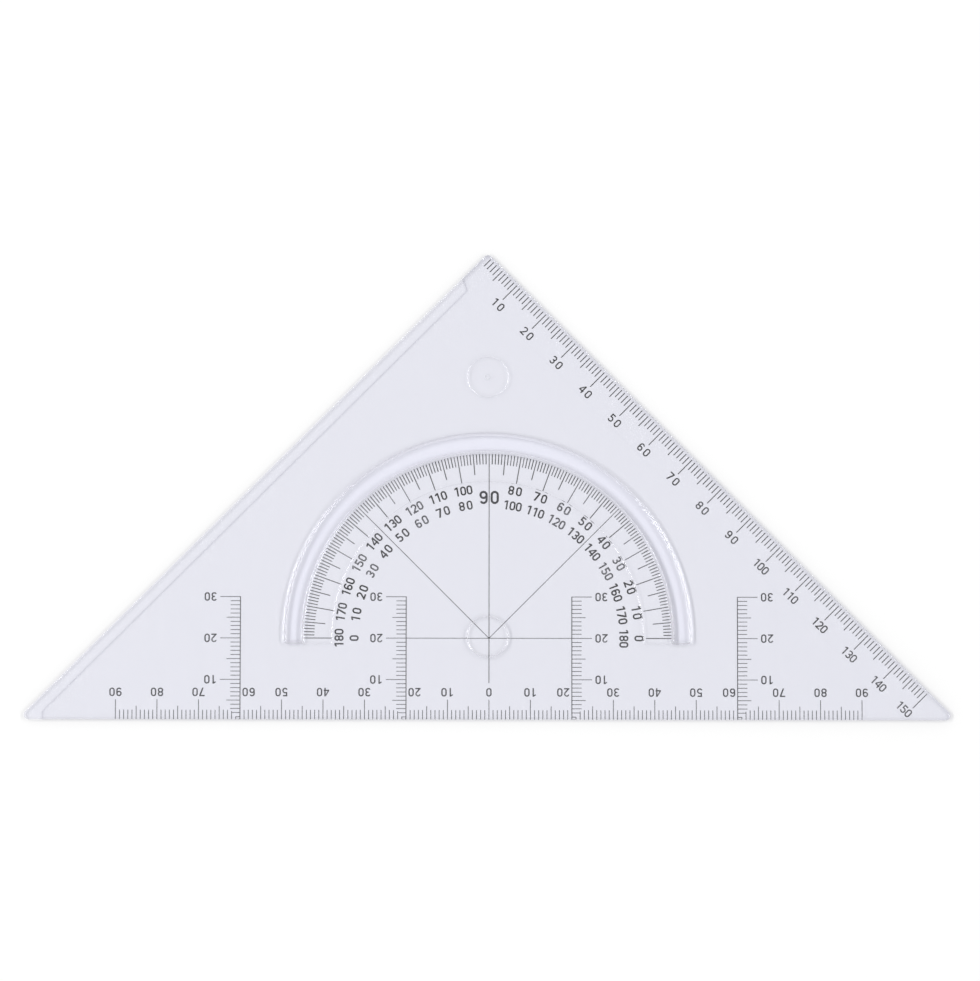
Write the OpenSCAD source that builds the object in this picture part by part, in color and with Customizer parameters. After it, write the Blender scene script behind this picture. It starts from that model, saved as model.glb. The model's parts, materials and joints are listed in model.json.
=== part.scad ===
// Protractor set square, 45-45-90 degrees, laid flat: X runs along the long edge, Y towards the
// right-angled corner, Z up. The origin lies under the middle of the plate, level with its
// underside, and the middle line of the plate is X = 0.
// One clear moulding carries the print. The scales lie in a shallow recess of the underside,
// so that the ink stays clear of the paper, and the grip arc stands up from the top face.

/* [Plate] */
// length of each short side, measured between sharp corners
leg_len = 160; // [140:1:220]
// thickness of the clear sheet
plate_t = 2; // [1.6:0.1:3]
// radius of the three rounded corners
corner_r = 1.1; // [0.6:0.1:2]
// width of the small bevel round the upper edges
edge_break = 0.25; // [0.1:0.05:0.4]

/* [Inking edge] */
// width of the raised drawing edge along the plain short side
inking_w = 2.8; // [1.5:0.1:3.2]
// height of that edge above the paper
inking_h = 0.7; // [0.3:0.1:1]
// distance of its upper end from the middle line of the plate
inking_top = 5.1; // [4:0.1:12]
// length of the raised tip at the plain corner
inking_tail = 5.9; // [5:0.1:12]
// sideways run of the slanted upper end
inking_slant = 1; // [0:0.1:2]

/* [Grip arc] */
// how far the raised grip arc reaches in over the ends of the degree marks
grip_lap = 0.4; // [0:0.1:1]
// width of the grip arc at its foot
grip_w = 4.9; // [4:0.1:7]
// height of the grip arc above the plate
grip_h = 1; // [0.6:0.1:3]
// width of its sloped outer flank
grip_flank_out = 0.8; // [0.4:0.1:2]
// width of its sloped inner flank
grip_flank_in = 0.5; // [0.2:0.1:1.2]
// how far the arc runs on below the base line of the angle scale
grip_tail = 1.8; // [0.5:0.1:4]

/* [Sunk band] */
// width of the sunk band over the degree marks, inwards from the grip arc
band_w = 6.9; // [4:0.1:8]
// depth of the band in the top face
band_d = 0.15; // [0.05:0.05:0.4]

/* [Dishes and moulding marks] */
// diameter of the two round dishes in the top face
dish_d = 10.1; // [6:0.1:14]
// depth of the dish over the centre of the angle scale
dish_depth = 0.4; // [0.1:0.05:0.6]
// depth of the upper dish
gate_dish_depth = 0.2; // [0.05:0.05:0.4]
// width of the sloped rim of the dishes
dish_rim = 0.3; // [0.1:0.05:1]
// height of the upper dish above the long edge
gate_y = 83; // [78:0.5:92]
// diameter of the gate stub in the upper dish
gate_d = 1.1; // [0.6:0.1:2]
// height of the gate stub
gate_h = 0.15; // [0.05:0.05:0.3]
// diameter of the two round ejector marks in the underside
eject_d = 3.6; // [2:0.1:5]
// depth of the ejector marks
eject_depth = 0.08; // [0.02:0.02:0.2]
// distance of the ejector marks from the middle line
eject_x = 45.4; // [40:0.1:50]
// height of the ejector marks above the long edge
eject_y = 13.9; // [13:0.1:14.5]

/* [Print] */
// thickness of the ink film
film_t = 0.03; // [0.02:0.01:0.1]
// gap that the recess leaves between the ink and the paper
film_gap = 0.02; // [0.01:0.01:0.1]
// margin of the recess round the print
recess_margin = 0.6; // [0.3:0.1:1]
// least gap between the marks and the edge of the plate
edge_gap = 0.08; // [0.02:0.02:0.3]
// how far the whole print is set off to the right on the moulding
print_x = 0.35; // [-0.5:0.05:0.5]
// how far it is set off away from the long edge
print_y = -0.33; // [-0.5:0.01:0.3]

/* [Length scales] */
// part of half the long edge that stays without marks at each end
long_rest = 20; // [15:1:30]
// part of the short side that stays without marks at its end
leg_rest = 10; // [9.5:0.5:20]
// width of the marks of the long edge and of the depth scales
edge_tick_w = 0.15; // [0.12:0.01:0.3]
// width of the marks of the numbered short side and of the angle scale
tick_w = 0.2; // [0.12:0.01:0.3]
// length of the 1 mm marks
tick_1 = 2.35; // [2.2:0.05:2.8]
// length of the 5 mm marks
tick_5 = 3.3; // [2.9:0.05:3.8]
// length of the 10 mm marks
tick_10 = 4.85; // [4:0.05:5.2]
// distance of the marks of the long edge from its zero line
long_inset = 0.3; // [0:0.01:0.6]
// distance of the marks of the numbered short side from its zero line
leg_inset = 0.53; // [0.3:0.01:0.8]
// gap between the 10 mm marks of the long edge and its numbers
long_num_gap = 0.77; // [0.5:0.01:1.2]
// gap between the 10 mm marks of the numbered short side and its numbers
leg_num_gap = 0.64; // [0.4:0.01:1]
// how far the last number of that side stands back, clear of the long edge
last_num_back = 1.35; // [1.2:0.05:1.8]

/* [Depth scales] */
// long-edge mark on which the inner pair of depth scales stands
near_x = 20; // [18:1:23]
// long-edge mark on which the outer pair of depth scales stands
far_x = 60; // [55:1:70]
// length of the depth scales
depth_len = 30; // [20:10:30]
// width of the long line of each depth scale
line_w = 0.19; // [0.15:0.01:0.35]
// gap between the 10 mm marks of a depth scale and its numbers
depth_num_gap = 0.85; // [0.5:0.01:1]
// gap between a depth scale and a long-edge number that makes room for it
shift_gap = 0.5; // [0.2:0.05:1]
// gap that the outer pair keeps from the numbers of the short side
side_gap = 0.3; // [0.2:0.1:1]

/* [Angle scale] */
// height of the centre of the angle scale above the long edge
centre_y = 20; // [17:0.5:23]
// length of the 1 degree marks
deg_1 = 2.65; // [2.2:0.05:3.2]
// length of the 5 degree marks
deg_5 = 5.1; // [4:0.05:5.6]
// length of the 10 degree marks
deg_10 = 6.9; // [5.8:0.05:7.5]
// width of the middle line
mid_w = 0.17; // [0.12:0.01:0.3]
// width of the base line and of the two slanted lines
ray_w = 0.14; // [0.1:0.01:0.3]
// gap between the depth-scale numbers and the inner row of degree numbers
inner_row_gap = 0.75; // [0.3:0.01:2]
// gap between the two rows of degree numbers
row_gap = 1.45; // [0.8:0.05:2]
// gap between the outer row and the 10 degree marks
mark_gap = 0.6; // [0.3:0.01:1.5]
// how much nearer to the centre than the outer row the number 90 lies
ninety_drop = 2.1; // [1.5:0.1:3]
// gap between the middle line and the long-edge numbers
foot_gap = 1.22; // [0.8:0.02:4]

/* [Numbers] */
// height of the scale numbers
num_h = 2.06; // [1.6:0.02:2.3]
// height of the degree numbers
deg_num_h = 2.2; // [1.8:0.05:2.4]
// height of the number 90
ninety_h = 3.2; // [2.4:0.1:3.2]
// width of a digit as a share of its height
digit_aspect = 0.62; // [0.58:0.01:0.68]
// stroke width of a scale digit as a share of its height
stroke_share = 0.15; // [0.1:0.01:0.17]
// stroke width of a degree digit as a share of its height
deg_stroke_share = 0.165; // [0.1:0.01:0.17]
// step between the digits of the long edge and of the depth scales as a share of their height
num_pitch = 0.81; // [0.77:0.01:0.85]
// step between the digits of the numbered short side as a share of their height
leg_num_pitch = 0.94; // [0.8:0.01:1]
// step between degree digits as a share of their height
deg_num_pitch = 0.86; // [0.76:0.01:0.9]
// step between the closer digits of a three-digit number as a share of their height
close_pitch = 0.7; // [0.69:0.01:0.75]
// step between the two digits of the number 90
ninety_pitch = 2.7; // [2.6:0.05:3]

/* [Hidden] */
$fn = 64;

clear = [0.88, 0.89, 0.94, 0.45];
ink = [0.08, 0.08, 0.1];

// overshoot of a cut beyond the face it opens
cut = 1;
// side of a square corner, as a factor on its diagonal half
root2 = sqrt(2);
half_long = leg_len / root2;
recess_d = film_t + film_gap;
// a mark in every ten has a number
ten = 10;
// the marks end at the last full ten before the plain ends
long_end = ten * floor((half_long - long_rest) / ten);
leg_end = ten * floor((leg_len - leg_rest) / ten);
// how deep a raised feature is rooted in the plate
root = 0.5;
// the first number with three digits
three_digits = ten * ten;
// height of the middle of the plate above its long edge
mid_y = (half_long - corner_r * (root2 - 1)) / 2;
// grid on which the strokes of the digits meet
fine = 0.02;
// steps in each rounded corner
corner_steps = 12;
// angles in degrees
right_angle = 90;
half_turn = right_angle * 2;
half_right = right_angle / 2;

// the depth scales stand on whole millimetres
near = round(near_x);
far = round(far_x);
// half the width of a number with two digits
num_half = (even(num_h * digit_aspect) + num_h * num_pitch) / 2;
// distances of the number centres from the edge or line that they belong to
long_num_y = long_inset + tick_10 + long_num_gap + num_h / 2;
leg_num_y = leg_inset + tick_10 + leg_num_gap + num_h / 2;
depth_num_x = tick_10 + depth_num_gap + num_half;
num_shift = num_half + line_w / 2 + shift_gap;
centre_foot = long_num_y + num_h / 2 + foot_gap;
// lowest start of a mark of the long edge, above the zero line of the print
long_start = edge_gap - print_y;
// the outer pair is shorter by full tens where the numbered side comes near
far_room = half_long - far - depth_num_x - num_half - num_h / 2
    - root2 * (leg_num_y + num_h / 2 + side_gap);
far_len = min(depth_len, ten * floor(far_room / ten));
// radii of the angle scale, each one from the next smaller one
depth_corner = norm([near + depth_num_x + num_half, depth_len + num_h / 2 - centre_y]);
inner_row_r = depth_corner + inner_row_gap + deg_num_h / 2;
outer_row_r = inner_row_r + deg_num_h + row_gap;
ninety_r = outer_row_r - ninety_drop;
arc_r = outer_row_r + deg_num_h / 2 + mark_gap + deg_10;
grip_in = arc_r - grip_lap;
grip_r = grip_in + grip_w;
band_r = grip_in - band_w;

// points of a rounded corner: centre, first and last direction
function corner(c, from, to) = [
    for (i = [0:corner_steps])
        c + corner_r * [
            cos(from + (to - from) * i / corner_steps),
            sin(from + (to - from) * i / corner_steps)
        ]
];
// distance of a corner's centre from the sharp tip, along the long edge
tip_run = corner_r / tan(half_right / 2);
// the rounded outline, from the right tip round the right angle to the left tip
outline = concat(
    corner([half_long - tip_run, corner_r], -right_angle, half_right),
    corner([0, half_long - corner_r * root2], half_right, half_right + right_angle),
    corner([tip_run - half_long, corner_r], half_right + right_angle, right_angle * 3)
);

// the nearest size that halves to a whole hundredth of a millimetre
function even(v) = round(v / fine) * fine;
// decimal digits of a whole number
function digits(n) = n < ten ? [n] : concat(digits(floor(n / ten)), [n % ten]);
// 0 for a unit mark, 1 for a five and 2 for a ten
function rank(n) = n % ten == 0 ? 2 : n % (ten / 2) == 0 ? 1 : 0;
// length of a mark by the number it stands for
function mark(n, unit_mark, five_mark, ten_mark) = [unit_mark, five_mark, ten_mark][rank(n)];
// true where a depth scale stands on the long edge
function on_depth(n) = n == near || n == far;
// true where a long-edge number would lie on the depth scale at x
function meets(n, x) = n > x - num_half - line_w && n < x + tick_1 + num_half + line_w;
// place of a long-edge number, moved inwards where it would lie on a depth scale
function num_x(n) = meets(n, near) ? near - num_shift : meets(n, far) ? far - num_shift : n;
// steps outwards from the nearest depth scale, 0 where there is none
function past_depth(n) = n > far ? n - far : n > near ? n - near : 0;

// places its children, drawn from the zero mark of the long edge, in the frame of the part
module in_frame() {
    translate([0, -mid_y, 0])
        children();
}

// places its children in the frame of the print, set off on the moulding
module set_off() {
    translate([print_x, print_y, 0])
        children();
}

// ink of the print
module printed() {
    color(ink)
        in_frame()
            set_off()
                children();
}

// places its children in the frame of the numbered short side:
// X along the side from the right angle, Y into the plate
module on_leg() {
    translate([0, half_long, 0])
        rotate([0, 0, -half_right])
            mirror([0, 1, 0])
                children();
}

module on_centre() {
    translate([0, centre_y, 0])
        children();
}

// a bar of ink between two corners
module bar(x0, y0, x1, y1) {
    translate([x0, y0, film_gap])
        cube([x1 - x0, y1 - y0, film_t]);
}

// a flat patch of ink
module patch(points) {
    translate([0, 0, film_gap])
        linear_extrude(film_t)
            polygon(points);
}

// a curved stroke of ink about a centre, from one direction over a sweep, backwards if negative
module bow(c, r, from, sweep, s) {
    translate([c.x, c.y, film_gap])
        rotate([0, 0, from])
            mirror([0, sweep < 0 ? 1 : 0, 0])
                rotate_extrude(angle = abs(sweep))
                    translate([r - s / 2, 0])
                        square([s, film_t]);
}

// a closed loop of ink with round ends, w wide and h high, from the corner x, y
module loop_of(x, y, w, h, s) {
    r = (min(w, h) - s) / 2;
    cx0 = x + s / 2 + r;
    cx1 = x + w - s / 2 - r;
    cy0 = y + s / 2 + r;
    cy1 = y + h - s / 2 - r;
    if (h > w) {
        bow([cx0, cy1], r, 0, half_turn, s);
        bow([cx0, cy0], r, half_turn, half_turn, s);
        bar(x, cy0, x + s, cy1);
        bar(x + w - s, cy0, x + w, cy1);
    } else {
        bow([cx0, cy0], r, right_angle, half_turn, s);
        bow([cx1, cy0], r, -right_angle, half_turn, s);
        bar(cx0, y, cx1, y + s);
        bar(cx0, y + h - s, cx1, y + h);
    }
}

// shares of a digit's height and width that shape the digits
one_bar_x = 0.62;
one_flag_drop = 0.28;
one_flag_run = 0.35;
one_flag_root = 1.2;
two_sole = 0.5;
two_lap = 8;
two_start = 165;
three_start = 155;
three_neck = 0.38;
four_bar_x = 0.66;
four_bar_y = 0.22;
four_foot = 1.1;
four_head = 1.3;
five_bowl = 0.65;
five_stem_x = 0.08;
six_bowl = 0.62;
six_end = 25;
seven_foot = 0.2;
seven_head = 1.2;
seven_sole = 1.15;

module digit_1(w, h, s) {
    x = w * one_bar_x;
    tip = x - s / 2 - w * one_flag_run;
    bar(x - s / 2, 0, x + s / 2, h);
    patch([
        [x, h],
        [x - s / 2, h],
        [tip, h - h * one_flag_drop + s],
        [tip, h - h * one_flag_drop],
        [x - s / 2, h - s * one_flag_root],
        [x, h - s * one_flag_root]
    ]);
}

// the slanted stroke touches the upper bow and comes down to the left end of the foot
module digit_2(w, h, s) {
    r = (w - s) / 2;
    c = [w / 2, h - s / 2 - r];
    sole = [0, s * two_sole];
    away = c - sole;
    two_turn = atan2(away.y, away.x) - asin((r - s / 2) / norm(away)) - right_angle;
    out = [cos(two_turn), sin(two_turn)];
    run = [sin(two_turn), -cos(two_turn)];
    back = [cos(two_turn + two_lap), sin(two_turn + two_lap)];
    inner = c + (r - s / 2) * out;
    outer = c + (r + s / 2) * out;
    bow(c, r, two_turn, two_start - two_turn, s);
    patch([
        inner,
        c + (r - s / 4) * back,
        c + (r + s / 4) * back,
        outer,
        outer - run * (outer.y / run.y),
        [0, 0],
        sole
    ]);
    bar(0, 0, w, s);
}

module digit_3(w, h, s) {
    r = (h - s) / 4;
    lo = s / 2 + r;
    hi = h - s / 2 - r;
    x0 = s / 2 + r;
    x1 = w - s / 2 - r;
    bow([x1, hi], r, -right_angle, half_turn, s);
    bow([x1, lo], r, -right_angle, half_turn, s);
    bow([x0, hi], r, right_angle, three_start - right_angle, s);
    bow([x0, lo], r, -right_angle, right_angle - three_start, s);
    bar(x0, h - s, x1, h);
    bar(x0, 0, x1, s);
    bar(w * three_neck, h / 2 - s / 2, x1, h / 2 + s / 2);
}

module digit_4(w, h, s) {
    x = w * four_bar_x;
    y = h * four_bar_y;
    bar(x, 0, x + s, y);
    bar(x, y + s, x + s, h);
    bar(0, y, w, y + s);
    patch([
        [0, y + s / 2],
        [s * four_foot, y + s / 2],
        [s * four_foot, y + s],
        [x, h - s * four_head],
        [x + s / 2, h - s * four_head],
        [x + s / 2, h],
        [x, h],
        [0, y + s]
    ]);
}

module digit_5(w, h, s) {
    b = h * five_bowl;
    r = (b - s) / 2;
    x = w * five_stem_x;
    x1 = w - s / 2 - r;
    bow([x1, b / 2], r, right_angle, -right_angle - three_start, s);
    bar(x + s, b - s, x1, b);
    bar(x, b - s, x + s, h - s);
    bar(x, h - s, w - s / 2, h);
}

module digit_6(w, h, s) {
    r = (w - s) / 2;
    b = h * six_bowl;
    q = (b - s) / 2;
    loop_of(0, 0, w, b, s);
    bow([w / 2, h - s / 2 - r], r, half_turn, six_end - half_turn, s);
    bar(0, s / 2 + q, s, h - s / 2 - r);
}

module digit_7(w, h, s) {
    bar(0, h - s, w, h);
    patch([
        [w, h - s],
        [w, h - s / 2],
        [w - s * seven_head, h - s / 2],
        [w - s * seven_head, h - s],
        [w * seven_foot, 0],
        [w * seven_foot + s * seven_sole, 0]
    ]);
}

module digit_8(w, h, s) {
    loop_of(0, 0, w, (h + s) / 2, s);
    loop_of(0, (h - s) / 2, w, (h + s) / 2, s);
}

// one digit with its lower left corner at the origin
module digit(d, h, s) {
    w = even(h * digit_aspect);
    if (d == 0) loop_of(0, 0, w, h, s);
    if (d == 1) digit_1(w, h, s);
    if (d == 2) digit_2(w, h, s);
    if (d == 3) digit_3(w, h, s);
    if (d == 4) digit_4(w, h, s);
    if (d == 5) digit_5(w, h, s);
    if (d == 6) digit_6(w, h, s);
    if (d == 7) digit_7(w, h, s);
    if (d == 8) digit_8(w, h, s);
    if (d == 9)
        translate([w, h, 0])
            rotate([0, 0, half_turn])
                digit_6(w, h, s);
}

// a whole number centred on the origin, its top towards Y
module number(n, h, pitch, share) {
    list = digits(n);
    last = len(list) - 1;
    w = even(h * digit_aspect);
    for (i = [0:last])
        translate([(i - last / 2) * pitch - w / 2, -h / 2, 0])
            digit(list[i], h, even(h * share));
}

module scale_number(n) {
    number(n, num_h, num_h * num_pitch, stroke_share);
}

module leg_number(n) {
    number(n, num_h, num_h * (n < three_digits ? leg_num_pitch : close_pitch), stroke_share);
}

module degree_number(n, r, angle) {
    rotate([0, 0, angle - right_angle])
        translate([0, r, 0])
            number(
                n,
                deg_num_h,
                deg_num_h * (n < three_digits ? deg_num_pitch : close_pitch),
                deg_stroke_share
            );
}

// marks of one rank along the long edge; those on a depth scale are part of that scale,
// the first one outside it stops under its lowest mark and the second one under its third
module long_marks(kind) {
    for (side = [-1, 1], n = [side < 0 ? 1 : 0:long_end])
        if (rank(n) == kind && !on_depth(n)) {
            full = long_inset + mark(n, tick_1, tick_5, tick_10);
            past = past_depth(n);
            top = past == 1 ? past - edge_tick_w / 2 : past == 2 ? min(full, tick_1) : full;
            foot = max(long_inset, long_start);
            bar(side * n - edge_tick_w / 2, foot, side * n + edge_tick_w / 2, top);
        }
}

// marks of one rank along the numbered short side
module leg_marks(kind) {
    on_leg()
        for (n = [1:leg_end])
            if (rank(n) == kind) {
                top = leg_inset + mark(n, tick_1, tick_5, tick_10);
                bar(n - tick_w / 2, leg_inset, n + tick_w / 2, top);
            }
}

// degree marks of one rank; the long angle lines take the place of three of them
module degree_marks(kind) {
    on_centre()
        for (a = [0:half_turn])
            if (rank(a) == kind && a % right_angle != half_right && a != right_angle)
                rotate([0, 0, a])
                    bar(arc_r - mark(a, deg_1, deg_5, deg_10), -tick_w / 2, arc_r, tick_w / 2);
}

// a depth scale with its foot at the origin and its marks towards X
module depth_scale(length) {
    bar(-line_w / 2, max(0, long_start), line_w / 2, length + edge_tick_w / 2);
    for (n = [1:length]) {
        full = mark(n, tick_1, tick_5, tick_10);
        end = n == 1 ? n + edge_tick_w / 2 : n == 2 ? n - edge_tick_w / 2 : full;
        bar(0, n - edge_tick_w / 2, end, n + edge_tick_w / 2);
    }
}

// numbers of a depth scale, upside down like those of the long edge
module depth_numbers(x, length) {
    for (n = [ten:ten:length])
        translate([x, n, 0])
            rotate([0, 0, half_turn])
                scale_number(n);
}

// plan of the recess that holds the print
module recess_plan() {
    top = long_num_y + num_h / 2 + recess_margin;
    side = depth_num_x + num_half + recess_margin;
    drop = deg_num_h * (digit_aspect / 2 + close_pitch) + recess_margin;
    translate([-long_end - recess_margin - line_w, -cut])
        square([2 * (long_end + recess_margin + line_w), top + cut]);
    for (side_x = [-1, 1], x = [near, far])
        translate([side_x > 0 ? x - recess_margin : -x - side, 0])
            square([side + recess_margin, depth_len + num_h / 2 + recess_margin]);
    translate([-recess_margin, 0])
        square([2 * recess_margin, centre_y]);
    translate([0, centre_y])
        intersection() {
            circle(r = arc_r + recess_margin / 2);
            translate([-arc_r - cut, -drop])
                square([2 * (arc_r + cut), arc_r + drop + cut]);
        }
    translate([0, half_long])
        rotate(-half_right)
            mirror([0, 1])
                translate([-cut, -cut])
                    square([
                        leg_end + recess_margin + 2 * cut,
                        leg_num_y + num_h / 2 + recess_margin + cut
                    ]);
}

// plan of the raised drawing edge along the plain short side
module inking_plan() {
    width = inking_w * root2;
    polygon([
        [-inking_top - inking_slant, half_long + cut],
        [-inking_top - inking_slant, half_long - inking_top - inking_slant],
        [-inking_top, half_long - inking_top - width],
        [inking_tail - half_long, inking_tail - width],
        [inking_tail - half_long, -cut],
        [-half_long - width, -cut]
    ]);
}

// wedge that bevels an upper edge lying along X at the front of the plate
module bevel_cut() {
    rotate([right_angle, 0, right_angle])
        linear_extrude(leg_len * 2, center = true)
            polygon([
                [-cut, plate_t - edge_break - cut],
                [edge_break + cut, plate_t + cut],
                [-cut, plate_t + cut]
            ]);
}

// half ring about the centre of the angle scale, with straight tails, from a profile in r and z
module half_ring(tail) {
    on_centre() {
        rotate_extrude(angle = half_turn)
            children();
        for (side = [0, 1])
            mirror([side, 0, 0])
                rotate([right_angle, 0, 0])
                    linear_extrude(tail)
                        children();
    }
}

module grip_profile() {
    polygon([
        [grip_in, plate_t - root],
        [grip_r, plate_t - root],
        [grip_r, plate_t],
        [grip_r - grip_flank_out, plate_t + grip_h],
        [grip_in + grip_flank_in, plate_t + grip_h],
        [grip_in, plate_t]
    ]);
}

// a flat dish with a sloped rim, cut into the top face
module dish(y, depth) {
    rise = dish_rim / depth;
    translate([0, y, plate_t - depth])
        cylinder(h = depth + cut, r1 = dish_d / 2 - dish_rim, r2 = dish_d / 2 + cut * rise);
}

module plate() {
    color(clear) in_frame() {
        difference() {
            linear_extrude(plate_t)
                polygon(outline);
            bevel_cut();
            on_leg()
                bevel_cut();
            mirror([1, 0, 0])
                on_leg()
                    bevel_cut();
            set_off()
                translate([0, 0, -cut])
                    linear_extrude(recess_d + cut)
                        recess_plan();
            translate([0, 0, -cut])
                linear_extrude(inking_h + cut)
                    inking_plan();
            half_ring(grip_tail)
                translate([band_r, plate_t - band_d])
                    square([grip_in + root / 2 - band_r, band_d + cut]);
            dish(centre_y, dish_depth);
            dish(gate_y, gate_dish_depth);
            for (side = [-1, 1])
                translate([side * eject_x, eject_y, -cut])
                    cylinder(h = eject_depth + cut, d = eject_d);
        }
        half_ring(grip_tail)
            grip_profile();
        translate([0, gate_y, plate_t - gate_dish_depth - root])
            cylinder(h = gate_h + root, d = gate_d);
    }
}

module long_edge_marks_1mm() {
    printed() long_marks(0);
}

module long_edge_marks_5mm() {
    printed() long_marks(1);
}

module long_edge_marks_10mm() {
    printed() long_marks(2);
}

module long_edge_numbers() {
    printed()
        for (side = [-1, 1], n = [side < 0 ? ten : 0:ten:long_end])
            translate([side * num_x(n), long_num_y, 0])
                rotate([0, 0, half_turn])
                    scale_number(n);
}

module short_side_marks_1mm() {
    printed() leg_marks(0);
}

module short_side_marks_5mm() {
    printed() leg_marks(1);
}

module short_side_marks_10mm() {
    printed() leg_marks(2);
}

module short_side_numbers() {
    printed()
        on_leg()
            for (n = [ten:ten:leg_end])
                translate([n == leg_end ? n - last_num_back : n, leg_num_y, 0])
                    mirror([0, 1, 0])
                        leg_number(n);
}

module degree_marks_1() {
    printed() degree_marks(0);
}

module degree_marks_5() {
    printed() degree_marks(1);
}

module degree_marks_10() {
    printed() degree_marks(2);
}

module degree_numbers_outer() {
    printed()
        on_centre()
            for (a = [0:ten:half_turn])
                if (a != right_angle)
                    degree_number(a, outer_row_r, a);
}

module degree_numbers_inner() {
    printed()
        on_centre()
            for (a = [0:ten:half_turn])
                if (a != right_angle)
                    degree_number(half_turn - a, inner_row_r, a);
}

module degree_number_90() {
    printed()
        translate([0, centre_y + ninety_r, 0])
            number(right_angle, ninety_h, ninety_pitch, deg_stroke_share);
}

// base line, middle line and the two half-right lines of the angle scale
module angle_lines() {
    printed()
        on_centre() {
            bar(line_w / 2 - near, -ray_w / 2, near - line_w / 2, ray_w / 2);
            bar(-mid_w / 2, centre_foot - centre_y, mid_w / 2, arc_r);
            for (a = [half_right, half_turn - half_right])
                rotate([0, 0, a])
                    bar(0, -ray_w / 2, arc_r, ray_w / 2);
        }
}

module depth_scale_left_outer() {
    printed()
        translate([-far, 0, 0])
            mirror([1, 0, 0])
                depth_scale(far_len);
}

module depth_scale_left_inner() {
    printed()
        translate([-near, 0, 0])
            mirror([1, 0, 0])
                depth_scale(depth_len);
}

module depth_scale_right_inner() {
    printed()
        translate([near, 0, 0])
            depth_scale(depth_len);
}

module depth_scale_right_outer() {
    printed()
        translate([far, 0, 0])
            depth_scale(far_len);
}

module depth_numbers_left_outer() {
    printed() depth_numbers(-far - depth_num_x, far_len);
}

module depth_numbers_left_inner() {
    printed() depth_numbers(-near - depth_num_x, depth_len);
}

module depth_numbers_right_inner() {
    printed() depth_numbers(near + depth_num_x, depth_len);
}

module depth_numbers_right_outer() {
    printed() depth_numbers(far + depth_num_x, far_len);
}

plate();
long_edge_marks_1mm();
long_edge_marks_5mm();
long_edge_marks_10mm();
long_edge_numbers();
short_side_marks_1mm();
short_side_marks_5mm();
short_side_marks_10mm();
short_side_numbers();
degree_marks_1();
degree_marks_5();
degree_marks_10();
degree_numbers_outer();
degree_numbers_inner();
degree_number_90();
angle_lines();
depth_scale_left_outer();
depth_scale_left_inner();
depth_scale_right_inner();
depth_scale_right_outer();
depth_numbers_left_outer();
depth_numbers_left_inner();
depth_numbers_right_inner();
depth_numbers_right_outer();
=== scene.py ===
import json
import math

import bmesh
import bpy
from mathutils import Euler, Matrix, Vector


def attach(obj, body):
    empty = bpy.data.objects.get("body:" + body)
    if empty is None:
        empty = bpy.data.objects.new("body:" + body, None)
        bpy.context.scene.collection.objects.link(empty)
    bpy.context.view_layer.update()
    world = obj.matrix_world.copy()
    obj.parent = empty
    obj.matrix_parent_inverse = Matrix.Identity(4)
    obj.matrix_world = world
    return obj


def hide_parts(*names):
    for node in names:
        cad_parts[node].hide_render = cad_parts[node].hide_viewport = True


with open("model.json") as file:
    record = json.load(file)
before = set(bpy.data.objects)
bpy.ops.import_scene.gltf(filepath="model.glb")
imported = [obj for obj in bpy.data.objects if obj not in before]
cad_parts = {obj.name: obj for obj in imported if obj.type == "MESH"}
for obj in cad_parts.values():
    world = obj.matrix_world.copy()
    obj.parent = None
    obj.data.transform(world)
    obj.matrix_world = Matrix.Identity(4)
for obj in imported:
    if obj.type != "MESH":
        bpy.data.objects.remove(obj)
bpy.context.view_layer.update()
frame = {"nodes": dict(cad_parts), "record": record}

# Camera, in metres and degrees: a long lens high above the plate, tipped a few degrees.
CAMERA_PLACE = (-0.00851, -0.0999, 1.2)
CAMERA_TILT = (4.7191, -0.4381, 0.0588)
CAMERA_LENS = 182.524
SENSOR = 36.0

# A long lamp on each side of the middle, and a dome of light. Degrees, metres and watts.
LAMP_ANGLE = 23.5
LAMP_DISTANCE = 1.5
LAMP_WIDE = 0.25
LAMP_LONG = 0.9
LEFT_POWER = 10.6
RIGHT_POWER = 6.3
DOME_COLOUR = (1, 1, 1, 1)
# Strength of the dome as a light, and as the white background that is seen.
DOME_STRENGTHS = (0.37, 1.0)

# Floor: pale paper just under the plate, in metres.
FLOOR_SIZE = 6.0
FLOOR_GAP = 0.00005
FLOOR_COLOUR = (0.86, 0.86, 0.86, 1)
FLOOR_GLOW = 0.16
FIBRES_PER_METRE = 2500.0
FIBRE_HEIGHT = 0.00001
PAPER_ROUGH = (0.6, 0.9)

# Print: dull ink, thinner here and there. Each stop is a level of the grain and its colour.
INK_STOPS = (
    (0.3, (0.01, 0.01, 0.014, 1)),
    (0.75, (0.03, 0.03, 0.036, 1)),
)
INK_GRAINS_PER_METRE = 9000.0
INK_RELIEF = 0.000006
INK_ROUGH = (0.42, 0.68)

# Grain of the ink and the paper: layers of noise, and the levels that count as low and high.
GRAIN_DETAIL = 3.0
GRAIN_SPAN = (0.3, 0.7)

# Clear plastic.
PLASTIC_COLOUR = (0.93, 0.93, 0.97, 1)
PLASTIC_IOR = 1.59
# Hairlines from use: grains per metre across and along them, their slant in radians, the
# levels of noise that count as clean and worn, and the roughness of each.
HAIR_GRAINS = (900.0, 60.0, 60.0)
HAIR_SLANT = (0.0, 0.0, 0.6)
HAIR_DETAIL = 4.0
HAIR_SPAN = (0.5, 0.75)
HAIR_ROUGH = (0.12, 0.2)
# Slow waves from cooling in the mould.
WAVES_PER_METRE = 60.0
WAVE_DETAIL = 1.0
WAVE_HEIGHT = 0.000004
# How clear the plastic is over the span from an upright surface, 0, to a level one, 1.
FROST_SPAN = (0.1, 0.95)
FROST_CLEAR = (0.45, 1.0)

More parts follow.
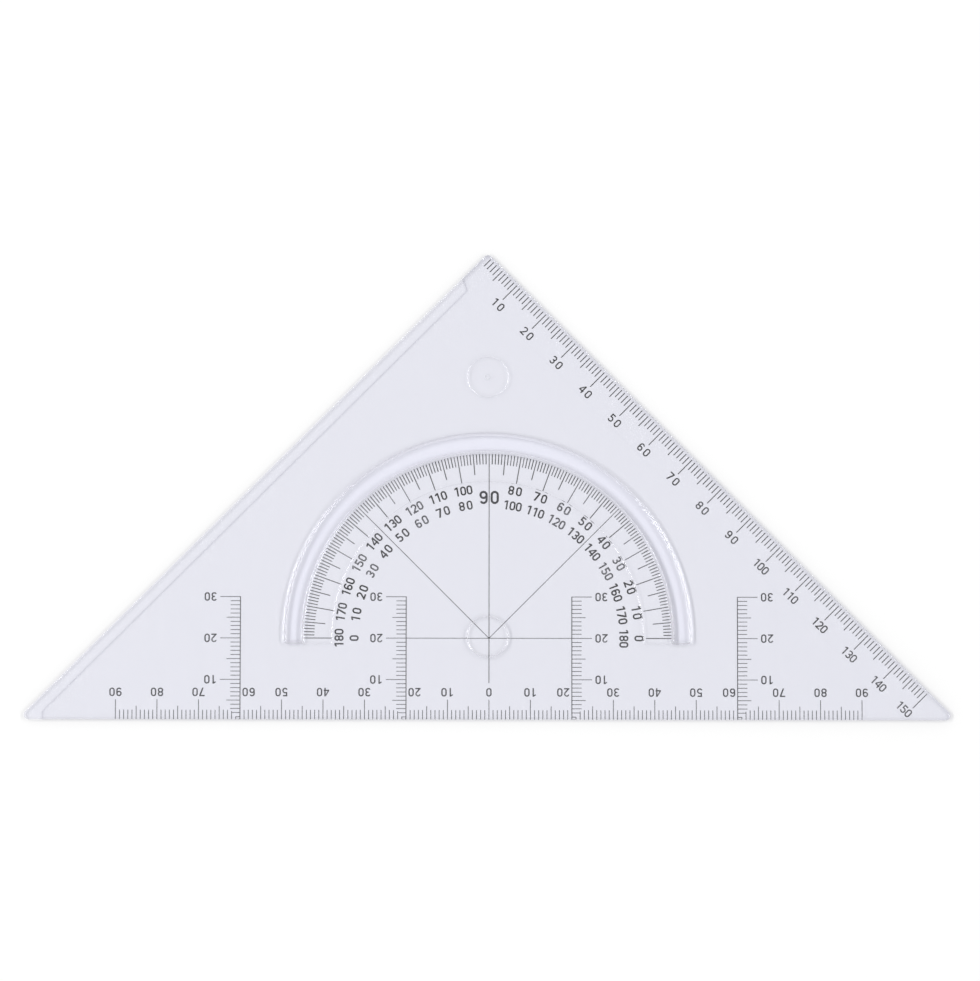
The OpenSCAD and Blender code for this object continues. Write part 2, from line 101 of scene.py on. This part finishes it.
# Light that the plastic lets through to the paper, from square on, 0, to edge on, 1.
FACING_STOPS = (
    (0.12, (0.963, 0.967, 0.995, 1)),
    (0.45, (0.45, 0.45, 0.5, 1)),
    (0.75, (0.05, 0.05, 0.08, 1)),
)
# What is left of it through a slope, from upright, 0, to level, 1.
SLOPE_STOPS = (
    (0.52, (0.1, 0.1, 0.15, 1)),
    (0.66, (0.5, 0.5, 0.54, 1)),
    (0.9, (1.0, 1.0, 1.0, 1)),
)
# The upright walls let through this instead.
WALL_SPAN = (0.1, 0.25)
WALL_SHADE = (0.5, 0.5, 0.55, 1)
# The arc's crest, between these heights in metres, gathers a little light.
CREST_SPAN = (0.0026, 0.0028)
CREST_SHADE = (1.09, 1.09, 1.13, 1)

# Shape of the clear plate, in millimetres, as in the part.
MM = 0.001
TOP = 2.0  # height of the flat top face
EDGE_ROUND = 0.25  # rounding of the upper edge
CORNER = 1.1  # radius of the outline's corners
TIP_ANGLE = 45.0  # degrees at the two sharp tips
SCALE_Y = -36.3407  # y of the angle scale's middle
ARC_TAIL = 1.8  # straight ends of the arc below that
GRIP_IN = 44.4  # inner and outer radius of the grip arc
GRIP_OUT = 49.3
GRIP_HIGH = 1.0  # height over the top face, and how much less at the crest's sides
GRIP_CROWN = 0.08
GRIP_CORNER = 1.2  # radius of the arc's outer corners
FLANK_OUT = 0.8  # widths of the arc's two slopes
FLANK_IN = 0.5
END_STEEPNESS = 2  # the arc's ends are so many times as steep as its flanks
BAND_WIDE = 6.9  # sunk band inside the arc, its depth and the width of its slopes
BAND_DEEP = 0.15
BAND_WALL = 0.15
BAND_IN = GRIP_IN - BAND_WIDE
DISH_RADIUS = 5.05
DISH_DEEP = 0.4  # centre dish, with the width of its slope
DISH_RIM = 0.3
UPPER_DISH_Y = 26.6593
UPPER_DISH_DEEP = 0.2
UPPER_DISH_RIM = 0.2
GATE_RADIUS = 0.55  # stub in the upper dish, its height and the width of its slope
GATE_HIGH = 0.15
GATE_WALL = 0.08
# Each dish: y of its middle, depth, width of its slope, whether the gate stub is in it.
DISHES = (
    (SCALE_Y, DISH_DEEP, DISH_RIM, False),
    (UPPER_DISH_Y, UPPER_DISH_DEEP, UPPER_DISH_RIM, True),
)
# Share of a slope's width over which its two ends are rounded: arc and gate, band and dishes.
SOFT = 0.3
SMALL_SOFT = 0.12

# Fineness of the plate's mesh: numbers of steps, and distances in millimetres.
EDGE_STEPS = 5
ARC_STEPS = 120
RING_STEPS = 72
SLOPE_STEPS = 12
CREST_STEPS = 12
BAND_WALL_STEPS = 5
BAND_FLOOR_STEPS = 4
END_STEPS = 20
TAIL_STEPS = 5
DISH_FLOOR_STEPS = 6
GATE_STEPS = 6
MARGIN = 0.5  # room round a feature
LEAST_STEP = 0.012
NORMAL_STEP = 0.004  # over which a slope is measured
PAST_SLOPE = 1.5  # widths of a slope from its start to where its level part is divided

# Joining the plate's new top to the CAD mesh, which is kept below the cut.
CUT = 1.0  # millimetres
CUT_SLACK = 1e-7  # metres, as are the next three
WELD = 1e-6
WALL_SLACK = 2e-6
FOOT = 0.0001  # height below which the walls have no smooth normals
UPRIGHT = 0.1  # a face whose normal rises less than this is a wall
# Kinds of new faces that get their normals from the shape itself.
ROUNDED_EDGE = 2
TOP_FACE = 3


def new_tree(owner):
    """The emptied node tree of a material or a world."""
    owner.use_nodes = True
    owner.node_tree.nodes.clear()
    return owner.node_tree


def connect(tree, node, inputs):
    """Gives each input a plain value, or a link from another node's output."""
    for name, value in inputs.items():
        if isinstance(value, bpy.types.NodeSocket):
            tree.links.new(value, node.inputs[name])
        else:
            node.inputs[name].default_value = value
    return node


def add(tree, kind, inputs):
    """A new shader node with these inputs."""
    return connect(tree, tree.nodes.new("ShaderNode" + kind), inputs)


def calculate(tree, operation, first, second=0.0):
    node = add(tree, "Math", {0: first, 1: second})
    node.operation = operation
    return node.outputs[0]


def rescale(tree, value, span, result=(0.0, 1.0)):
    """Turns the range span of a value into the range result, and holds it beyond the ends."""
    inputs = {
        "Value": value,
        "From Min": span[0],
        "From Max": span[1],
        "To Min": result[0],
        "To Max": result[1],
    }
    return add(tree, "MapRange", inputs).outputs["Result"]


def colours(tree, value, stops):
    """Goes from colour to colour as the value passes the stops."""
    node = add(tree, "ValToRGB", {"Fac": value})
    elements = node.color_ramp.elements
    for element, (position, colour) in zip(elements, (stops[0], stops[-1])):
        element.position = position
        element.color = colour
    for position, colour in stops[1:-1]:
        elements.new(position).color = colour
    return node.outputs["Color"]


def blend(tree, kind, share, first, second):
    """The first colour, changed by the second as far as the share says."""
    node = tree.nodes.new("ShaderNodeMix")
    node.data_type = "RGBA"
    node.blend_type = kind
    connect(tree, node, {0: share, 6: first, 7: second})
    return node.outputs[2]


def noise(tree, place, grains, detail):
    """Noise of so many grains per unit of the place."""
    inputs = {"Vector": place, "Scale": grains, "Detail": detail}
    return add(tree, "TexNoise", inputs).outputs["Fac"]


def relief(tree, height, depth):
    """Surface normals of a relief so many metres deep."""
    return add(tree, "Bump", {"Height": height, "Distance": depth}).outputs["Normal"]


def object_place(tree):
    return add(tree, "TexCoord", {}).outputs["Object"]


def upward_part(tree, vector):
    return add(tree, "SeparateXYZ", {"Vector": vector}).outputs["Z"]


def seen_ray(tree):
    """1 for camera, glossy and transmission rays, 0 for the light that falls on things."""
    path = add(tree, "LightPath", {}).outputs
    first = calculate(tree, "MAXIMUM", path["Is Camera Ray"], path["Is Glossy Ray"])
    return calculate(tree, "MAXIMUM", first, path["Is Transmission Ray"])


def finish_material(material, surface):
    add(material.node_tree, "OutputMaterial", {"Surface": surface})
    return material


def light_through(tree, shape, level):
    """Colour of the light that goes straight through the plastic to the paper."""
    facing = add(tree, "LayerWeight", {}).outputs["Facing"]
    by_facing = colours(tree, facing, FACING_STOPS)
    by_slope = colours(tree, level, SLOPE_STOPS)
    light = blend(tree, "MULTIPLY", 1.0, by_facing, by_slope)
    light = blend(tree, "MIX", rescale(tree, level, WALL_SPAN), WALL_SHADE, light)
    crest = rescale(tree, upward_part(tree, shape["Position"]), CREST_SPAN)
    return blend(tree, "MULTIPLY", crest, light, CREST_SHADE)


def plastic():
    """Clear plastic with hairlines from use and slow waves from cooling in the mould."""
    material = bpy.data.materials.new("clear_plastic")
    tree = new_tree(material)
    place = object_place(tree)
    slanted = add(
        tree, "Mapping", {"Vector": place, "Scale": HAIR_GRAINS, "Rotation": HAIR_SLANT}
    )
    # the mapping already counts the grains, so the noise has one for each of its units
    hairs = noise(tree, slanted.outputs["Vector"], 1.0, HAIR_DETAIL)
    waves = noise(tree, place, WAVES_PER_METRE, WAVE_DETAIL)
    shape = add(tree, "NewGeometry", {}).outputs
    level = calculate(tree, "ABSOLUTE", upward_part(tree, shape["Normal"]))
    inputs = {
        "Base Color": PLASTIC_COLOUR,
        "IOR": PLASTIC_IOR,
        "Roughness": rescale(tree, hairs, HAIR_SPAN, HAIR_ROUGH),
        "Transmission Weight": rescale(tree, level, FROST_SPAN, FROST_CLEAR),
        "Normal": relief(tree, waves, WAVE_HEIGHT),
    }
    seen = add(tree, "BsdfPrincipled", inputs).outputs["BSDF"]
    light = {"Color": light_through(tree, shape, level)}
    unseen = add(tree, "BsdfTransparent", light).outputs["BSDF"]

    # light on its way to the paper goes straight on, all other rays meet the plastic
    path = add(tree, "LightPath", {}).outputs
    straight = calculate(tree, "MAXIMUM", path["Is Shadow Ray"], path["Is Diffuse Ray"])
    both = add(tree, "MixShader", {0: straight, 1: seen, 2: unseen})
    return finish_material(material, both.outputs[0])


def ink():
    material = bpy.data.materials.new("print_ink")
    tree = new_tree(material)
    grains = noise(tree, object_place(tree), INK_GRAINS_PER_METRE, GRAIN_DETAIL)
    inputs = {
        "Base Color": colours(tree, grains, INK_STOPS),
        "Roughness": rescale(tree, grains, GRAIN_SPAN, INK_ROUGH),
        "Normal": relief(tree, grains, INK_RELIEF),
    }
    return finish_material(material, add(tree, "BsdfPrincipled", inputs).outputs["BSDF"])


def paper():
    """Pale fibrous paper that glows a little where it is seen, so that it comes out white."""
    material = bpy.data.materials.new("floor_paper")
    tree = new_tree(material)
    fibres = noise(tree, object_place(tree), FIBRES_PER_METRE, GRAIN_DETAIL)
    inputs = {
        "Color": FLOOR_COLOUR,
        "Roughness": rescale(tree, fibres, GRAIN_SPAN, PAPER_ROUGH),
        "Normal": relief(tree, fibres, FIBRE_HEIGHT),
    }
    body = add(tree, "BsdfDiffuse", inputs).outputs["BSDF"]
    strength = calculate(tree, "MULTIPLY", seen_ray(tree), FLOOR_GLOW)
    glow = add(tree, "Emission", {"Strength": strength}).outputs["Emission"]
    both = add(tree, "AddShader", {0: body, 1: glow})
    return finish_material(material, both.outputs[0])


def soft(u, f):
    """u where it is positive, else 0, with a rounded corner from -f to f."""
    if u <= -f:
        return 0.0
    if u >= f:
        return u
    return (u + f) ** 2 / (4 * f)


def rise(u, f=SOFT):
    """Rises from 0 to 1 while u runs from 0 to 1, with rounded ends."""
    return soft(u, f) - soft(u - 1, f)


def corner_in(a, b, r):
    """Distance inside a corner that is a from one side, b from the other and rounded with r."""
    return r - math.hypot(max(0.0, r - a), max(0.0, r - b))


def arc_height(r, e):
    """Height over the plate's top face at radius r from the arc's centre, e from its end."""
    outer = corner_in(GRIP_OUT - r, e * END_STEEPNESS, GRIP_CORNER) / FLANK_OUT
    inner = corner_in(r - GRIP_IN, e * END_STEEPNESS, FLANK_IN) / FLANK_IN
    band = min((r - BAND_IN) / BAND_WALL, (GRIP_IN - r) / BAND_WALL, e / BAND_WALL)
    across = (2 * r - GRIP_IN - GRIP_OUT) / (GRIP_OUT - GRIP_IN)
    crest = GRIP_HIGH - GRIP_CROWN * across**2
    return crest * min(rise(outer), rise(inner)) - BAND_DEEP * rise(band, SMALL_SOFT)


def dish_height(r, deep, rim, gate):
    """Height over the plate's top face at radius r from a dish's middle."""
    high = -deep * rise((DISH_RADIUS - r) / rim, SMALL_SOFT)
    if gate:
        high += GATE_HIGH * rise((GATE_RADIUS + GATE_WALL - r) / GATE_WALL)
    return high


def top_height(x, y):
    """Height over the flat top face at a point of the plate."""
    for middle, deep, rim, gate in DISHES:
        r = math.hypot(x, y - middle)
        if r < DISH_RADIUS + MARGIN:
            return dish_height(r, deep, rim, gate)
    up = y - SCALE_Y
    r = math.hypot(x, up) if up > 0 else abs(x)
    if BAND_IN - MARGIN < r < GRIP_OUT + MARGIN and up > -ARC_TAIL - MARGIN:
        end = up + ARC_TAIL if up < 0 else ARC_TAIL + r
        return arc_height(r, end)
    return 0.0


def top_normal(x, y):
    step = NORMAL_STEP
    dx = (top_height(x + step, y) - top_height(x - step, y)) / (2 * step)
    dy = (top_height(x, y + step) - top_height(x, y - step)) / (2 * step)
    return Vector((-dx, -dy, 1)).normalized()


def spread(a, b, steps):
    """Evenly spaced values from a to b."""
    return [a + (b - a) * i / steps for i in range(steps + 1)]


def slope_radii(a, b, steps):
    """Radii over a slope from a to b and its rounded ends."""
    more = (b - a) * SOFT
    return spread(a - more, b + more, steps)


def thinned(values):
    """The values in order, without those too close to the one before."""
    kept = []
    for v in sorted(values):
        if not kept or v - kept[-1] > LEAST_STEP:
            kept.append(v)
    return kept


def round_pairs(items):
    """Each item with the next, and the last with the first."""
    return zip(items, items[1:] + items[:1])


def lower_half(cad):
    """The CAD plate below the cut, open at the top."""
    mesh = bmesh.new()
    mesh.from_mesh(cad.data)
    mesh.transform(cad.matrix_world)
    bmesh.ops.bisect_plane(
        mesh,
        geom=mesh.verts[:] + mesh.edges[:] + mesh.faces[:],
        dist=CUT_SLACK,
        plane_co=(0, 0, CUT * MM),
        plane_no=(0, 0, 1),
        clear_outer=True,
    )
    bmesh.ops.remove_doubles(mesh, verts=mesh.verts[:], dist=WELD)
    return mesh


def open_rim(mesh):
    """The vertices of the open rim, in order round the plate."""
    start = next(e for e in mesh.edges if e.is_boundary)
    rim = [start.verts[0], start.verts[1]]
    used = {start}
    while True:
        ahead = [e for e in rim[-1].link_edges if e.is_boundary and e not in used]
        if not ahead:
            break
        used.add(ahead[0])
        other = ahead[0].other_vert(rim[-1])
        if other is rim[0]:
            break
        rim.append(other)
    area = sum(a.co.x * b.co.y - b.co.x * a.co.y for a, b in round_pairs(rim))
    if area < 0:
        rim.reverse()
    return rim


def core_triangle(rim):
    """Corners of the triangle that the rim runs round at the distance of a corner's radius."""
    low = min(v.co.y for v in rim)
    high = max(v.co.y for v in rim)
    inset = CORNER * MM
    tip = inset / math.tan(math.radians(TIP_ANGLE / 2))
    half = high - low + inset * (math.sqrt(2) - 1)
    return [
        Vector((half - tip, low + inset)),
        Vector((0, low + half - inset * math.sqrt(2))),
        Vector((tip - half, low + inset)),
    ]


def nearest(core, p):
    """The point on the core triangle's sides that is nearest to p."""
    best = None
    for a, b in round_pairs(core):
        t = max(0.0, min(1.0, (p - a).dot(b - a) / (b - a).length_squared))
        q = a + (b - a) * t
        if best is None or (p - q).length < (p - best).length:
            best = q
    return best


def on_wall(core, co):
    """True for a point on the upright outer wall of the plate."""
    return abs((nearest(core, co.xy) - co.xy).length - CORNER * MM) < WALL_SLACK


def edge_normal(core, co):
    """Outward normal of the wall and of the rounded upper edge."""
    out = (co.xy - nearest(core, co.xy)).normalized()
    up = max(0.0, co.z / MM - TOP + EDGE_ROUND) / EDGE_ROUND
    lift = math.asin(min(1.0, up))
    return Vector((out.x * math.cos(lift), out.y * math.cos(lift), math.sin(lift)))


def add_edge(mesh, kind, rim, core):
    """Adds the wall above the rim and its rounded upper edge, and gives the edge's last row."""
    rows = [rim]
    for k in range(EDGE_STEPS + 1):
        angle = math.radians(90 * k / EDGE_STEPS)
        row = []
        for v in rim:
            p = v.co.xy
            inward = (nearest(core, p) - p).normalized()
            q = p + inward * EDGE_ROUND * MM * (1 - math.cos(angle))
            z = TOP - EDGE_ROUND + EDGE_ROUND * math.sin(angle)
            row.append(mesh.verts.new((q.x, q.y, z * MM)))
        rows.append(row)
    for below, above in zip(rows, rows[1:]):
        for (a, b), (d, c) in zip(round_pairs(below), round_pairs(above)):
            face = mesh.faces.new((a, b, c, d))
            if below is not rim:
                face[kind] = ROUNDED_EDGE
    return rows[-1]


def place(mesh, x, y):
    """A new vertex on the top face."""
    return mesh.verts.new((x * MM, y * MM, (TOP + top_height(x, y)) * MM))


def place_round(mesh, middle, r, angle):
    """A new vertex on the top face, so far round a point on the plate's middle line."""
    return place(mesh, r * math.cos(angle), middle + r * math.sin(angle))


def weave(mesh, kind, line_pairs):
    """Adds faces between the two lines of vertices of each pair."""
    for a, b in line_pairs:
        for j in range(len(a) - 1):
            corners = dict.fromkeys((a[j], a[j + 1], b[j + 1], b[j]))
            mesh.faces.new(list(corners))[kind] = TOP_FACE


def add_arc(mesh, kind):
    """Adds the grip arc and the sunk band, and gives the line round them."""
    radii = thinned(
        slope_radii(BAND_IN, BAND_IN + BAND_WALL, BAND_WALL_STEPS)
        + spread(BAND_IN + MARGIN, GRIP_IN - MARGIN, BAND_FLOOR_STEPS)
        + slope_radii(GRIP_IN - BAND_WALL, GRIP_IN, BAND_WALL_STEPS)
        + slope_radii(GRIP_IN, GRIP_IN + FLANK_IN, SLOPE_STEPS)
        + spread(
            GRIP_IN + FLANK_IN * PAST_SLOPE, GRIP_OUT - FLANK_OUT * PAST_SLOPE, CREST_STEPS
        )
        + slope_radii(GRIP_OUT - FLANK_OUT, GRIP_OUT, SLOPE_STEPS)
        + [BAND_IN - MARGIN / 2, GRIP_OUT + MARGIN / 2]
    )
    ends = thinned(
        spread(-MARGIN / 2, MARGIN / 2, END_STEPS) + spread(MARGIN / 2, ARC_TAIL, TAIL_STEPS)
    )
    tail = [e - ARC_TAIL for e in ends[:-1]]
    turns = [math.radians(180 * i / ARC_STEPS) for i in range(ARC_STEPS + 1)]
    lines = [[place(mesh, r, SCALE_Y + up) for r in radii] for up in tail]
    lines += [[place_round(mesh, SCALE_Y, r, angle) for r in radii] for angle in turns]
    lines += [[place(mesh, -r, SCALE_Y + up) for r in radii] for up in reversed(tail)]
    weave(mesh, kind, zip(lines, lines[1:]))
    return (
        [line[0] for line in lines]
        + lines[-1][1:]
        + [line[-1] for line in reversed(lines[:-1])]
        + lines[0][-2:0:-1]
    )


def add_dish(mesh, kind, middle, rim, gate):
    """Adds a dish, and gives the circle round it."""
    radii = spread(0.0, DISH_RADIUS - rim * PAST_SLOPE, DISH_FLOOR_STEPS)
    radii += slope_radii(DISH_RADIUS - rim, DISH_RADIUS, SLOPE_STEPS)
    if gate:
        radii += slope_radii(GATE_RADIUS, GATE_RADIUS + GATE_WALL, GATE_STEPS)
    outward = thinned(radii)[1:]
    centre = place(mesh, 0.0, middle)
    turns = [2 * math.pi * i / RING_STEPS for i in range(RING_STEPS)]
    lines = [
        [centre] + [place_round(mesh, middle, r, angle) for r in outward] for angle in turns
    ]
    weave(mesh, kind, round_pairs(lines))
    return [line[-1] for line in lines]


def fill_flat(mesh, kind, rings):
    """Fills the flat rest of the top face between the rings."""
    borders = [
        mesh.edges.get(pair) or mesh.edges.new(pair)
        for ring in rings
        for pair in round_pairs(ring)
    ]
    filled = bmesh.ops.triangle_fill(mesh, edges=borders, use_beauty=True, normal=(0, 0, 1))
    for face in filled["geom"]:
        if isinstance(face, bmesh.types.BMFace):
            face[kind] = TOP_FACE
            if face.normal.z < 0:
                face.normal_flip()


def set_normals(data, core):
    """Normals of the exact shape on the top and the outer wall, flat faces elsewhere."""
    kinds = data.attributes["fine"].data
    data.polygons.foreach_set("use_smooth", [True] * len(data.polygons))
    normals = []
    for polygon in data.polygons:
        kind = kinds[polygon.index].value
        upright = abs(polygon.normal.z) < UPRIGHT
        for index in polygon.vertices:
            co = data.vertices[index].co
            if kind == TOP_FACE:
                normals.append(top_normal(co.x / MM, co.y / MM))
            elif kind == ROUNDED_EDGE or (upright and co.z > FOOT and on_wall(core, co)):
                normals.append(edge_normal(core, co))
            else:
                normals.append(polygon.normal.copy())
    data.normals_split_custom_set(normals)


def fine_plate(cad):
    """The CAD plate's underside and walls, with a rounded upper edge and finer top features."""
    mesh = lower_half(cad)
    kind = mesh.faces.layers.int.new("fine")
    rim = open_rim(mesh)
    core = core_triangle(rim)
    rings = [add_edge(mesh, kind, rim, core), add_arc(mesh, kind)]
    rings += [add_dish(mesh, kind, middle, wall, gate) for middle, _, wall, gate in DISHES]
    fill_flat(mesh, kind, rings)
    mesh.normal_update()
    bmesh.ops.recalc_face_normals(mesh, faces=mesh.faces[:])
    data = bpy.data.meshes.new("clear_plate")
    mesh.to_mesh(data)
    mesh.free()
    set_normals(data, core)
    piece = bpy.data.objects.new("clear_plate", data)
    bpy.context.scene.collection.objects.link(piece)
    return piece


def lamp(name, side, power):
    """A long lamp that shines on the plate from the left, side -1, or the right, side 1."""
    data = bpy.data.lights.new(name, "AREA")
    data.shape = "RECTANGLE"
    data.size = LAMP_WIDE
    data.size_y = LAMP_LONG
    data.energy = power
    item = bpy.data.objects.new(name, data)
    angle = math.radians(LAMP_ANGLE) * side
    item.location = (LAMP_DISTANCE * math.sin(angle), 0.0, LAMP_DISTANCE * math.cos(angle))
    item.rotation_euler = Euler((0.0, angle, 0.0))
    bpy.context.scene.collection.objects.link(item)


def dome():
    """Fill light from all round, seen as a plain white background."""
    world = bpy.data.worlds.new("studio")
    tree = new_tree(world)
    strength = rescale(tree, seen_ray(tree), (0.0, 1.0), DOME_STRENGTHS)
    sky = add(tree, "Background", {"Color": DOME_COLOUR, "Strength": strength})
    add(tree, "OutputWorld", {"Surface": sky.outputs["Background"]})
    bpy.context.scene.world = world


def photo_camera():
    data = bpy.data.cameras.new("camera")
    data.lens = CAMERA_LENS
    data.sensor_width = SENSOR
    camera = bpy.data.objects.new("camera", data)
    camera.location = CAMERA_PLACE
    camera.rotation_euler = Euler([math.radians(a) for a in CAMERA_TILT])
    bpy.context.scene.collection.objects.link(camera)
    bpy.context.scene.camera = camera


SLOTS = {"clear_plastic": plastic(), "print_ink": ink()}
for row in frame["record"]["subparts"]:
    piece = frame["nodes"][row["node"]]
    piece.data.materials.clear()
    piece.data.materials.append(SLOTS[row["material_slot"]])

plate = fine_plate(frame["nodes"]["plate"])
plate.data.materials.append(SLOTS["clear_plastic"])
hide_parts("plate")
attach(plate, "root")

lamp("lamp_left", -1, LEFT_POWER)
lamp("lamp_right", 1, RIGHT_POWER)
dome()

bpy.ops.mesh.primitive_plane_add(size=FLOOR_SIZE, location=(0, 0, -FLOOR_GAP))
floor = bpy.context.object
floor.name = "floor"
floor.data.materials.append(paper())

photo_camera()
bpy.context.scene.view_settings.view_transform = "Standard"
